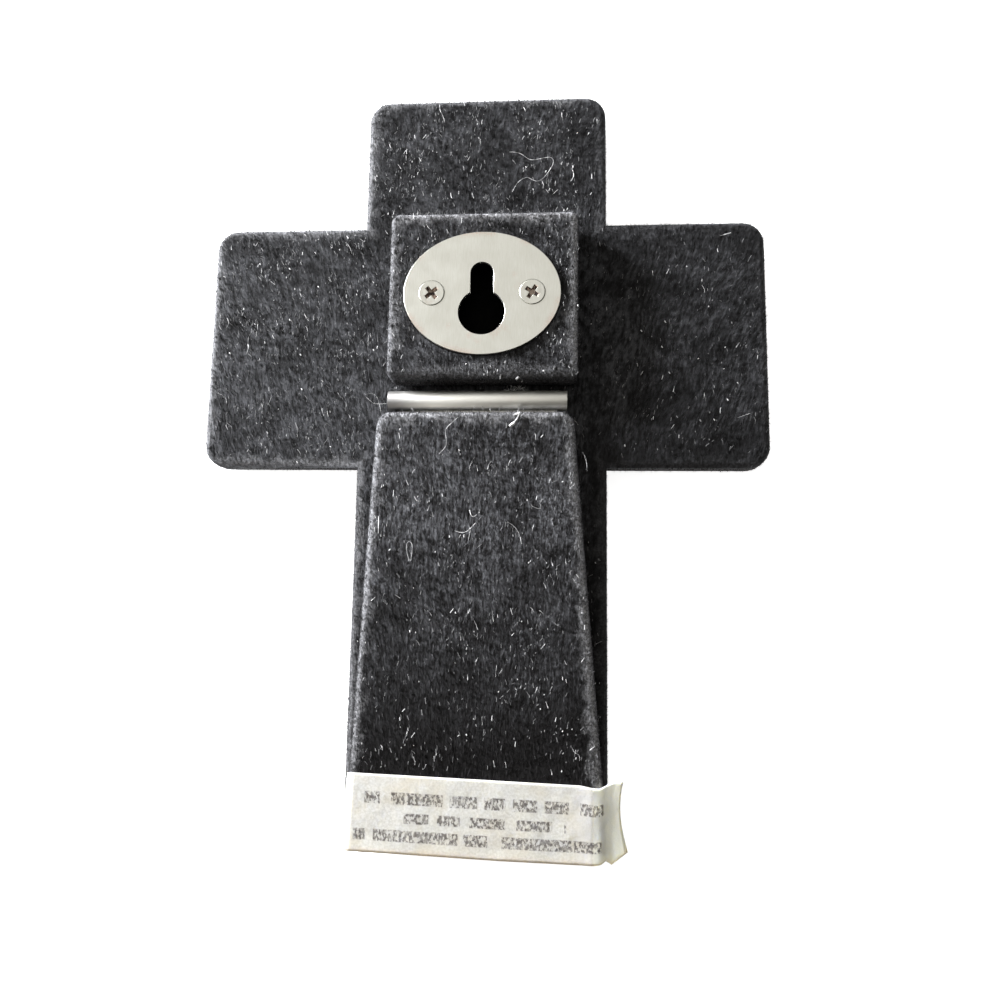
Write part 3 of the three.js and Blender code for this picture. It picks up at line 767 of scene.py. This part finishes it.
# The left end, which the block doesn't shade, is painted darker: a painted shade against the lamp's light there
left_end = hinge_steel.node("ShaderNodeSeparateXYZ", Vector=hinge_steel.position()).outputs["X"]
plain_shade = hinge_steel.shader.inputs["Base Color"].links[0].from_socket
hinge_steel.set(Base_Color=hinge_steel.mix(
    hinge_steel.span(left_end, barrel_low.x, barrel_low.x + 11, 1.0, 0.0),
    hinge_steel.mix(0.7, plain_shade, HINGE_PALE), grey(0.2, 0.03),
))
show("hinge_pin", hinge_steel)

bm = bmesh.new()
ring = bmesh.ops.create_circle(bm, cap_ends=False, segments=64, radius=BARREL_RADIUS)["verts"]
inner = bmesh.ops.create_circle(bm, cap_ends=False, segments=64, radius=BARREL_BORE)["verts"]
bmesh.ops.bridge_loops(bm, edges=bm.edges)
raised = bmesh.ops.extrude_face_region(bm, geom=list(bm.faces))["geom"]
far_end = [item for item in raised if isinstance(item, bmesh.types.BMVert)]
bmesh.ops.translate(bm, vec=(0, 0, barrel_high.x - barrel_low.x), verts=far_end)
bmesh.ops.rotate(bm, matrix=Matrix.Rotation(math.pi / 2, 3, "Y"), verts=bm.verts)
bmesh.ops.translate(bm, vec=(barrel_low.x, HINGE.y, HINGE.z), verts=bm.verts)
bmesh.ops.recalc_face_normals(bm, faces=bm.faces)
barrel = finished("rolled_barrel", bm, hinge_steel)
slit = bmesh.new()
bmesh.ops.create_cube(slit, size=1)
bmesh.ops.scale(slit, vec=(24, 3.2, 2.4), verts=slit.verts)
bmesh.ops.translate(slit, vec=(HINGE.x, HINGE.y + 0.6, HINGE.z - 2.2), verts=slit.verts)
cut(barrel, slit)
leaf = bmesh.new()
bmesh.ops.create_cube(leaf, size=1)
bmesh.ops.scale(leaf, vec=(32, 7.2, 0.8), verts=leaf.verts)
bmesh.ops.translate(leaf, vec=(HINGE.x, HINGE.y - BARREL_BORE - 3.7, HINGE.z), verts=leaf.verts)
leaf_piece = finished("leaf", leaf, hinge_steel)
weld = barrel.modifiers.new("weld", "BOOLEAN")
weld.operation, weld.object, weld.solver = "UNION", leaf_piece, "EXACT"
apply_modifiers(barrel)
bpy.data.objects.remove(leaf_piece)
soft = barrel.modifiers.new("soft", "BEVEL")
soft.width, soft.segments, soft.limit_method, soft.angle_limit = 0.09 * MM, 2, "ANGLE", math.radians(50)
apply_modifiers(barrel)
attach(barrel, "leg")
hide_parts("hinge_barrel")


# Easel leg
# A tapering fibreboard leg covered in the same velvet, wider at its foot.
LEG_TOP = (-1.0, 39.5)        # middle and width at the hinge
LEG_FOOT = (0.55, 49.6)
LEG_EDGE = 1.5
LEG_LIGHTNESS = 1.75               # its velvet is this much lighter than the board's
LEG_RIM_FADE = ((-21, -16, 0.5, 1.0), EVENLY)
LABEL_TOP = -62               # the label covers the leg below this
leg_low, leg_high = (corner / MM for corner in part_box("easel_leg"))

leg_corners = [
    (LEG_FOOT[0] - LEG_FOOT[1] / 2, leg_low.y, 1.6), (LEG_FOOT[0] + LEG_FOOT[1] / 2, leg_low.y, 1.6),
    (LEG_TOP[0] + LEG_TOP[1] / 2, leg_high.y, 2.8), (LEG_TOP[0] - LEG_TOP[1] / 2, leg_high.y, 2.8),
]
leg_length = leg_high.y - leg_low.y
leg_skin = velvet("leg_skin", leg_high.z, [(
    LEG_TOP[0], (leg_low.y + leg_high.y) / 2, LEG_TOP[1] / 2, leg_length / 2,
    (LEG_FOOT[0] - LEG_TOP[0]) / leg_length, (LEG_FOOT[1] - LEG_TOP[1]) / 2 / leg_length,
)], LEG_RIM_FADE, LEG_LIGHTNESS)
leg = finished("leg_velvet", rounded_slab(leg_corners, leg_low.z, leg_high.z, LEG_EDGE), leg_skin)
leaf_slot = bmesh.new()
bmesh.ops.create_cube(leaf_slot, size=1)
bmesh.ops.scale(leaf_slot, vec=(32.7, 16, 1.4), verts=leaf_slot.verts)
bmesh.ops.translate(leaf_slot, vec=(HINGE.x, HINGE.y - 1.05, HINGE.z), verts=leaf_slot.verts)
cut(leg, leaf_slot)
mark_pale_rim(leg, LEG_RIM_FADE)
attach(leg, "leg")
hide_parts("easel_leg")


def leg_hidden(points, out):
    """Points in the leaf's slot, and on the underside."""
    inside = (points[:, 1] < leg_high.y - 0.3) & (np.abs(points[:, 2] - HINGE.z) < 0.75)
    in_slot = inside & (np.abs(points[:, 0] - HINGE.x) < 16.4)
    under_label = points[:, 1] < LABEL_TOP - 0.4
    return in_slot | under_label | (out[:, 2] < -0.2)


leg_pile = grow_pile(
    "leg_pile", leg, leg_corners, 26000, 13, leg_hidden,
    velvet("leg_hairs", leg_high.z, lightness=LEG_LIGHTNESS), LEG_RIM_FADE,
)
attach(leg_pile, "leg")


# Paper label
# A paper label stuck round the leg's foot. Both ends have come loose beside the leg: the left one
# curls out at the bottom, the right one is creased upright and flares. It is cream with age.
# Its print is kept only as rows of soft grey blots.
LABEL_ROWS = 14               # steps down the paper's height
LABEL_THICKNESS = 0.13
# The folds from left to right, each with x, y at the top edge, x, y at the bottom edge, and the
# height over the floor at the top and at the bottom
LABEL_FOLDS = [
    (-24.1, -65.5, -27.1, -75.7, 10.6, 10.2),     # loose left end
    (-24.0, -63.6, -25.5, -76.4, 11.3, 10.8),
    (-23.9, -62.1, -24.6, -76.1, 12.4, 12.4),     # over the leg's left edge
    (-22.7, -61.9, -23.2, -76.0, 13.5, 13.45),
    (5.2, -62.6, 5.4, -76.8, 13.6, 13.6),
    (20.2, -63.0, 20.3, -77.0, 13.65, 13.65),
    (22.4, -63.4, 22.4, -77.1, 13.7, 13.6),       # the fold at the leg's right edge
    (23.8, -63.5, 23.9, -76.9, 13.5, 13.4),
    (25.0, -62.9, 24.8, -76.3, 13.1, 13.0),       # upright crease
    (26.3, -62.3, 25.9, -77.0, 12.8, 12.6),
    (28.1, -62.4, 28.9, -74.8, 12.6, 12.3),       # loose right end
]
LEFT_CURL = 1.3               # how far the left end keeps close to the leg above its curl
RIGHT_WAIST = 0.9             # how far the right end draws in at its middle


LABEL_CLEAR = 0.22            # from the velvet's skin to the middle of the paper


def leg_height(x, y):
    """Height of the leg's rounded back at a point, or nothing outside its outline."""
    share = (leg_high.y - y) / (leg_high.y - leg_low.y)
    middle, width = (top + (foot - top) * share for top, foot in zip(LEG_TOP, LEG_FOOT))
    inward = width / 2 - abs(x - middle)
    if inward < 0:
        return 0.0
    return leg_high.z - LEG_EDGE + math.sqrt(LEG_EDGE ** 2 - max(0.0, LEG_EDGE - inward) ** 2)


def label_point(s, t):
    """A point of the label, s from 0 to the last fold across it, t from 0 at the top down to 1."""
    first = min(int(s), len(LABEL_FOLDS) - 2)
    share = s - first
    a, b = (Vector((
        fold[0] + (fold[2] - fold[0]) * t, fold[1] + (fold[3] - fold[1]) * t, fold[4] + (fold[5] - fold[4]) * t,
    )) for fold in LABEL_FOLDS[first:first + 2])
    point = a.lerp(b, share)
    left_end = max(0.0, 1 - s / 2)
    right_end = max(0.0, s - (len(LABEL_FOLDS) - 2))
    point.x += LEFT_CURL * left_end * math.sin(math.pi * t ** 0.8)
    point.x -= RIGHT_WAIST * right_end * math.sin(math.pi * t ** 0.9)
    wave = noise.noise(Vector((point.x * 0.22, point.y * 0.3, 4.0)))
    wrinkle = noise.noise(Vector((point.x * 0.9 + point.y * 0.35, point.y * 0.25, 9.0)))
    crease = abs(noise.noise(Vector((point.x * 0.33 - point.y * 0.2, point.y * 0.18, 2.0))))
    point.z += 0.07 * wave + 0.02 * wrinkle - 0.03 * max(0.0, 0.12 - crease) / 0.12
    point.z = max(point.z, leg_height(point.x, point.y) + LABEL_CLEAR)
    return point


PAPER_PALE = (0.68, 0.67, 0.63, 1)
PAPER_WORN = (0.56, 0.545, 0.50, 1)
PAPER_AGED = (0.60, 0.53, 0.40, 1)
PAPER_PINK = (0.60, 0.44, 0.36, 1)
PAPER_TURNED_LIT = (0.98, 0.94, 0.79, 1)
PAPER_INK = (0.09, 0.075, 0.07, 1)
# Rows of blots in place of print: distance below the top edge, half height, and where they start and end
LABEL_BARS = [(4.2, 1.05, -20.4, 24.6), (7.7, 0.9, -12.8, 17.7), (10.9, 1.0, -22.3, 24.6)]

paper = Finish("label_paper")
place = paper.position()
creased = paper.noise(paper.position((1.3, 0.28, 1)), 1.0, 4, 0.7, 0.6)
fibres = paper.noise(place, 2.2, 4, 0.65)
ageing = paper.noise(place, 0.13, 3, 0.6)
shade = paper.mix(paper.span(fibres, 0.32, 0.68), PAPER_WORN, PAPER_PALE)
shade = paper.mix(paper.span(ageing, 0.45, 0.75, 0.0, 0.4), shade, PAPER_AGED)
side = paper.node("ShaderNodeSeparateXYZ", Vector=place).outputs["X"]
# A painted highlight lies along the right fold, and the end beyond the fold is clean but yellowed, and painted
# brighter, a painted light where it faces away from the lamp
fold_highlight = paper.math("MULTIPLY", paper.span(side, 18.2, 20.6), paper.span(side, 21.8, 22.5, 1.0, 0.0))
shade = paper.mix(paper.math("MULTIPLY", fold_highlight, 0.4), shade, grey(0.8, 0.03))
shade = paper.mix(paper.span(side, 22.2, 22.8), shade, PAPER_TURNED_LIT)
down = paper.node("ShaderNodeSeparateXYZ", Vector=paper.node("ShaderNodeUVMap").outputs["UV"]).outputs["Y"]
low_edge = paper.span(down, 12.9, 14.2, 0.0, 0.55)
shade = paper.mix(paper.math("MULTIPLY", low_edge, fibres), shade, PAPER_PINK)
scrawl = paper.node("ShaderNodeCombineXYZ", X=side, Y=down).outputs[0]
scrawl = paper.node("ShaderNodeMapping", Vector=scrawl, Scale=(2.0, 1.1, 1)).outputs[0]
ink = 0.0
for row, (middle, half, start, end) in enumerate(LABEL_BARS):
    offset = paper.math("ABSOLUTE", paper.math("SUBTRACT", down, middle))
    band = paper.span(offset, half - 0.1, half + 0.15, 1.0, 0.0)
    band = paper.math("MULTIPLY", band, paper.span(side, start, start + 0.4))
    band = paper.math("MULTIPLY", band, paper.span(side, end - 0.4, end, 1.0, 0.0))
    along = paper.node("ShaderNodeCombineXYZ", X=side, Y=float(9 * row)).outputs[0]
    words = paper.span(paper.noise(along, 0.34, 0), 0.40, 0.44)
    strokes = paper.span(paper.noise(scrawl, 1.0, 2, 0.6), 0.42, 0.55, 0.1, 1.0)
    ink = paper.math("MAXIMUM", ink, paper.math("MULTIPLY", band, paper.math("MULTIPLY", words, strokes)))
faded = paper.span(paper.noise(place, 1.1, 3, 0.7), 0.3, 0.6, 0.45, 0.9)
shade = paper.mix(paper.math("MULTIPLY", ink, faded), shade, PAPER_INK)
paper.set(Base_Color=shade, Roughness=0.8, Specular_IOR_Level=0.25)
paper.set(Normal=paper.bump(paper.math("MULTIPLY_ADD", creased, 0.4, fibres), 0.2, 0.0002))
# Thin paper lets some light through
paper.set(Subsurface_Weight=0.9, Subsurface_Radius=(1.0, 0.93, 0.75), Subsurface_Scale=0.0003)

fold_widths = [math.dist((a[0], a[4]), (b[0], b[4])) for a, b in zip(LABEL_FOLDS, LABEL_FOLDS[1:])]
fold_places = np.concatenate([[0], np.cumsum(fold_widths)])
label_bm = bmesh.new()
bmesh.ops.create_grid(label_bm, x_segments=120, y_segments=2 * LABEL_ROWS, size=0.5, calc_uvs=True)
spread = label_bm.loops.layers.uv.verify()
for face in label_bm.faces:
    for loop in face.loops:
        across = (loop.vert.co.x + 0.5) * fold_places[-1]
        loop[spread].uv = (across, (0.5 - loop.vert.co.y) * 14.1)
for vertex in label_bm.verts:
    across = (vertex.co.x + 0.5) * fold_places[-1]
    s = float(np.interp(across, fold_places, range(len(LABEL_FOLDS))))
    vertex.co = label_point(s, 0.5 - vertex.co.y)
label = finished("paper_wrap", label_bm, paper)
thick = label.modifiers.new("thick", "SOLIDIFY")
thick.thickness, thick.offset = LABEL_THICKNESS * MM, -1
apply_modifiers(label)
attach(label, "leg")
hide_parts("paper_label")


# Lint
# Dust and stray fibres caught in the velvet: bright dots and flecks in clusters, many faint
# fibres, and some longer threads that lie where they fell.
PILE_HEIGHT = 0.55            # how far above the skin the lint lies
RIGHT_SIDE = 20
RIGHT_LINT = 0.3              # beyond the right side the board has only this share of it
LINT_KINDS = {                # share of the whole, length, half thickness, number of turns
    "dot": (0.40, (0.15, 0.4), (0.05, 0.10), 1),
    "fleck": (0.57, (0.5, 1.3), (0.03, 0.055), 1),
    "hair": (0.03, (1.6, 4.0), (0.018, 0.028), 4),
}
DUST_KINDS = {
    "grain": (0.35, (0.2, 0.4), (0.05, 0.09), 1),
    "fibre": (0.65, (0.4, 1.0), (0.03, 0.055), 1),
}


def lint_finish(name, dull, bright):
    """Fluff that is brighter in some places than in others."""
    finish = Finish(name)
    tone = finish.span(finish.noise(finish.position(), 0.9, 1), 0.35, 0.65)
    finish.set(Base_Color=finish.mix(tone, grey(dull), grey(bright)), Roughness=0.85)
    return finish


lint_white = lint_finish("lint_white", 0.25, 0.88)
dust_grey = lint_finish("dust_grey", 0.07, 0.24)


def lay_lint(name, body, finish, routes):
    """Makes one piece of closed threads, each a list of points in millimetres and a half thickness."""
    curve = bpy.data.curves.new(name, "CURVE")
    curve.dimensions = "3D"
    curve.bevel_depth = MM
    curve.bevel_resolution = 0
    curve.use_fill_caps = True
    for points, half in routes:
        spline = curve.splines.new("NURBS")
        spline.points.add(len(points) - 1)
        for target, point in zip(spline.points, points):
            target.co = (*(Vector(point) * MM), 1)
            target.radius = half
        spline.order_u = min(3, len(points))
        spline.use_endpoint_u = True
        spline.resolution_u = 3
    drawn = bpy.data.objects.new(name + "_route", curve)
    scene.collection.objects.link(drawn)
    bpy.context.view_layer.update()
    mesh = bpy.data.meshes.new_from_object(drawn.evaluated_get(bpy.context.evaluated_depsgraph_get()))
    bpy.data.objects.remove(drawn)
    mesh.name = name
    mesh.materials.clear()
    mesh.materials.append(finish.material)
    piece = bpy.data.objects.new(name, mesh)
    scene.collection.objects.link(piece)
    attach(piece, body)


def scattered(seed, count, kinds, low, high, surface, open_to_view):
    """Routes of random lint over a flat face, in clusters. open_to_view says which points count."""
    rng = np.random.default_rng(seed)
    names = list(kinds)
    shares = [kinds[kind][0] for kind in names]
    routes = []
    while len(routes) < count:
        x, y = rng.uniform(low.x, high.x), rng.uniform(low.y, high.y)
        kind = names[rng.choice(len(names), p=shares)]
        crowd = 0.45 + 1.1 * noise.noise(Vector((x * 0.16, y * 0.16, 5.0)))
        if x > RIGHT_SIDE and surface == BOARD_BACK:
            crowd *= RIGHT_LINT
        if not open_to_view(x, y) or rng.random() > crowd:
            continue
        _, lengths, halves, turns = kinds[kind]
        length = rng.uniform(*lengths)
        heading = math.radians(90) - x * FAN * 0.8 + rng.normal(0, 0.35)
        point = Vector((x, y, surface + PILE_HEIGHT + rng.uniform(-0.25, 0.1)))
        points = [point]
        for _ in range(turns + 1):
            step = length / (turns + 1)
            point = point + Vector((math.cos(heading) * step, math.sin(heading) * step, rng.normal(0, 0.05)))
            points.append(point)
            heading += rng.normal(0, 0.35)
        routes.append((points, rng.uniform(*halves)))
    return routes


def laid(threads, surface):
    """Threads given as flat points, laid on a face."""
    return [([(x, y, surface + PILE_HEIGHT + 0.1) for x, y in points], half) for points, half in threads]


def on_board(x, y):
    """Whether a point lies on the bare part of the board's back."""
    in_upright = abs(x) < UPRIGHT_HALF - 1 and abs(y) < HALF_HEIGHT - 1
    in_arms = abs(x) < HALF_WIDTH - 1 and abs(y - ARM_CENTRE) < ARM_HALF - 1
    in_block = block_low.x < x < block_high.x and block_low.y < y < block_high.y
    in_leg = y < HINGE.y + BARREL_RADIUS and abs(x - LEG_TOP[0]) < LEG_TOP[1] / 2 + 0.06 * (HINGE.y - y)
    return (in_upright or in_arms) and not in_block and not in_leg


def on_block(x, y):
    reach = ((x - PLATE_CENTRE.x) / (PLATE_HALF.x + 0.5)) ** 2
    reach += ((y - PLATE_CENTRE.y) / (PLATE_HALF.y + 0.5)) ** 2
    return reach > 1


def on_leg(x, y):
    share = (leg_high.y - y) / (leg_high.y - leg_low.y)
    middle, width = (top + (foot - top) * share for top, foot in zip(LEG_TOP, LEG_FOOT))
    return abs(x - middle) < width / 2 - 0.8 and y > LABEL_FOLDS[3][1] + 0.5


BOARD_THREADS = [
    ([(5.8, 56.4), (6.5, 58.0), (7.6, 59.1), (8.9, 59.7), (10.1, 58.9), (11.2, 58.5), (12.5, 59.4),
      (13.9, 61.5), (14.6, 63.0), (14.0, 64.0), (12.8, 64.0), (9.5, 63.2), (7.9, 64.8), (6.2, 65.4),
      (5.0, 65.4)], 0.045),
    ([(-10.2, 77.0), (-10.2, 75.4), (-9.4, 74.3), (-9.0, 72.6)], 0.035),
    ([(18.4, 61.0), (19.1, 59.7), (18.1, 58.5)], 0.07),
    ([(-24.1, 12.5), (-22.9, 12.9), (-21.6, 12.3), (-20.9, 10.0), (-20.6, 8.6)], 0.022),
    ([(-23.8, 12.0), (-22.8, 10.9), (-21.4, 10.4), (-19.6, 10.6)], 0.02),
    ([(48.8, 45.8), (50.9, 46.4)], 0.06),
    ([(51.3, 7.5), (53.8, 8.4)], 0.035),
]
BOARD_SPECKS = [
    (-53.4, 21.7), (-51.4, 16.8), (-38.2, 21.3), (-37.6, 13.9), (-40.9, 28.9), (-28.7, 32.5), (-23.4, 37.0),
    (-33.3, 15.6), (-30.0, 15.9), (-26.2, 21.4), (-25.0, 2.4), (-44.4, 4.7), (-37.8, -1.5), (-41.5, 40.2),
    (-36.1, 43.7), (-38.5, 47.7), (37.2, 27.7), (32.4, 25.8), (36.5, 22.4), (37.9, 17.0), (49.3, 11.4),
    (51.4, 14.8), (39.3, 7.9), (46.6, 7.3), (43.9, 7.1),
]
LEG_THREADS = [
    ([(-4.1, 6.6), (-5.6, 5.2), (-6.7, 4.0), (-6.2, 1.8), (-6.4, 0.4), (-7.7, -0.8)], 0.05),
    ([(6.9, 6.8), (7.5, 7.2), (8.2, 7.4)], 0.28),
    ([(8.0, 7.2), (7.8, 6.4), (7.3, 5.6), (6.8, 5.2)], 0.26),
    ([(7.1, 5.4), (6.6, 5.1), (6.2, 4.7)], 0.36),
    ([(7.7, 7.5), (7.9, 8.4)], 0.06),
    ([(-1.4, -11.9), (-1.2, -12.9), (-0.6, -13.4), (0.0, -12.8)], 0.07),
    ([(-4.2, -16.0), (-2.6, -16.6), (-1.2, -15.6), (-0.2, -14.4)], 0.04),
    ([(-13.0, -21.9), (-13.9, -19.4), (-13.2, -17.8), (-12.2, -19.0), (-12.7, -21.9)], 0.04),
    ([(-19.3, -13.2), (-19.2, -16.6)], 0.1),
    ([(20.5, -0.4), (21.5, -2.3), (21.3, -4.3)], 0.02),
    ([(6.0, -14.2), (8.4, -15.2), (8.8, -18.4)], 0.045),
    ([(10.6, -11.0), (13.2, -12.4), (12.2, -10.4)], 0.05),
]



def tuft(seed, centre, spread, count):
    """A little tangle of short curled fibres."""
    rng = np.random.default_rng(seed)
    routes = []
    for _ in range(count):
        point = Vector(centre) + Vector(rng.normal(0, 1, 3)) * Vector(spread)
        heading = rng.uniform(0, math.tau)
        points = [point]
        for _ in range(4):
            point = point + Vector((math.cos(heading), math.sin(heading), rng.normal(0, 0.4))) * 0.3
            points.append(point)
            heading += rng.normal(0.5, 0.6)
        routes.append((points, rng.uniform(0.04, 0.09)))
    return routes


specks = [([(x, y), (x + 0.25, y - 0.35)], 0.1) for x, y in BOARD_SPECKS]
# Fluff caught between the block and the barrel, and flecks on the block's lower wall
GAP_TUFTS = [((6.3, 13.6), 0.5, 14), ((7.5, 13.7), 0.4, 12), ((8.7, 13.5), 0.45, 8)]
WALL_FLECKS = [
    ([(4.4, 14.8, 15.3), (4.25, 14.0, 15.0)], 0.13), ([(7.4, 13.9, 14.9), (7.9, 14.4, 15.2)], 0.22),
    ([(8.45, 13.6, 14.2), (8.6, 13.7, 14.5)], 0.14), ([(12.7, 15.2, 15.7), (12.8, 15.5, 15.7)], 0.12),
]
tufts = []
for number, ((x, y), spread, count) in enumerate(GAP_TUFTS):
    tufts += tuft(41 + number, (x, y, BOARD_BACK + PILE_HEIGHT), (spread, 0.25, 0.2), count)
board_surface, block_surface, leg_surface = BOARD_BACK, block_high.z, leg_high.z
board_face = (board_low, board_high, board_surface, on_board)
block_face = (block_low, block_high, block_surface, on_block)
leg_face = (leg_low, leg_high, leg_surface, on_leg)
lay_lint(
    "board_lint", "root", lint_white,
    scattered(21, 280, LINT_KINDS, *board_face) + laid(BOARD_THREADS + specks, board_surface) + tufts,
)
lay_lint("block_lint", "root", lint_white, scattered(22, 45, LINT_KINDS, *block_face) + WALL_FLECKS)
lay_lint(
    "leg_lint", "leg", lint_white,
    scattered(23, 180, LINT_KINDS, *leg_face) + laid(LEG_THREADS, leg_surface),
)
lay_lint("board_dust", "root", dust_grey, scattered(31, 1500, DUST_KINDS, *board_face))
lay_lint("block_dust", "root", dust_grey, scattered(32, 220, DUST_KINDS, *block_face))
lay_lint("leg_dust", "leg", dust_grey, scattered(33, 700, DUST_KINDS, *leg_face))
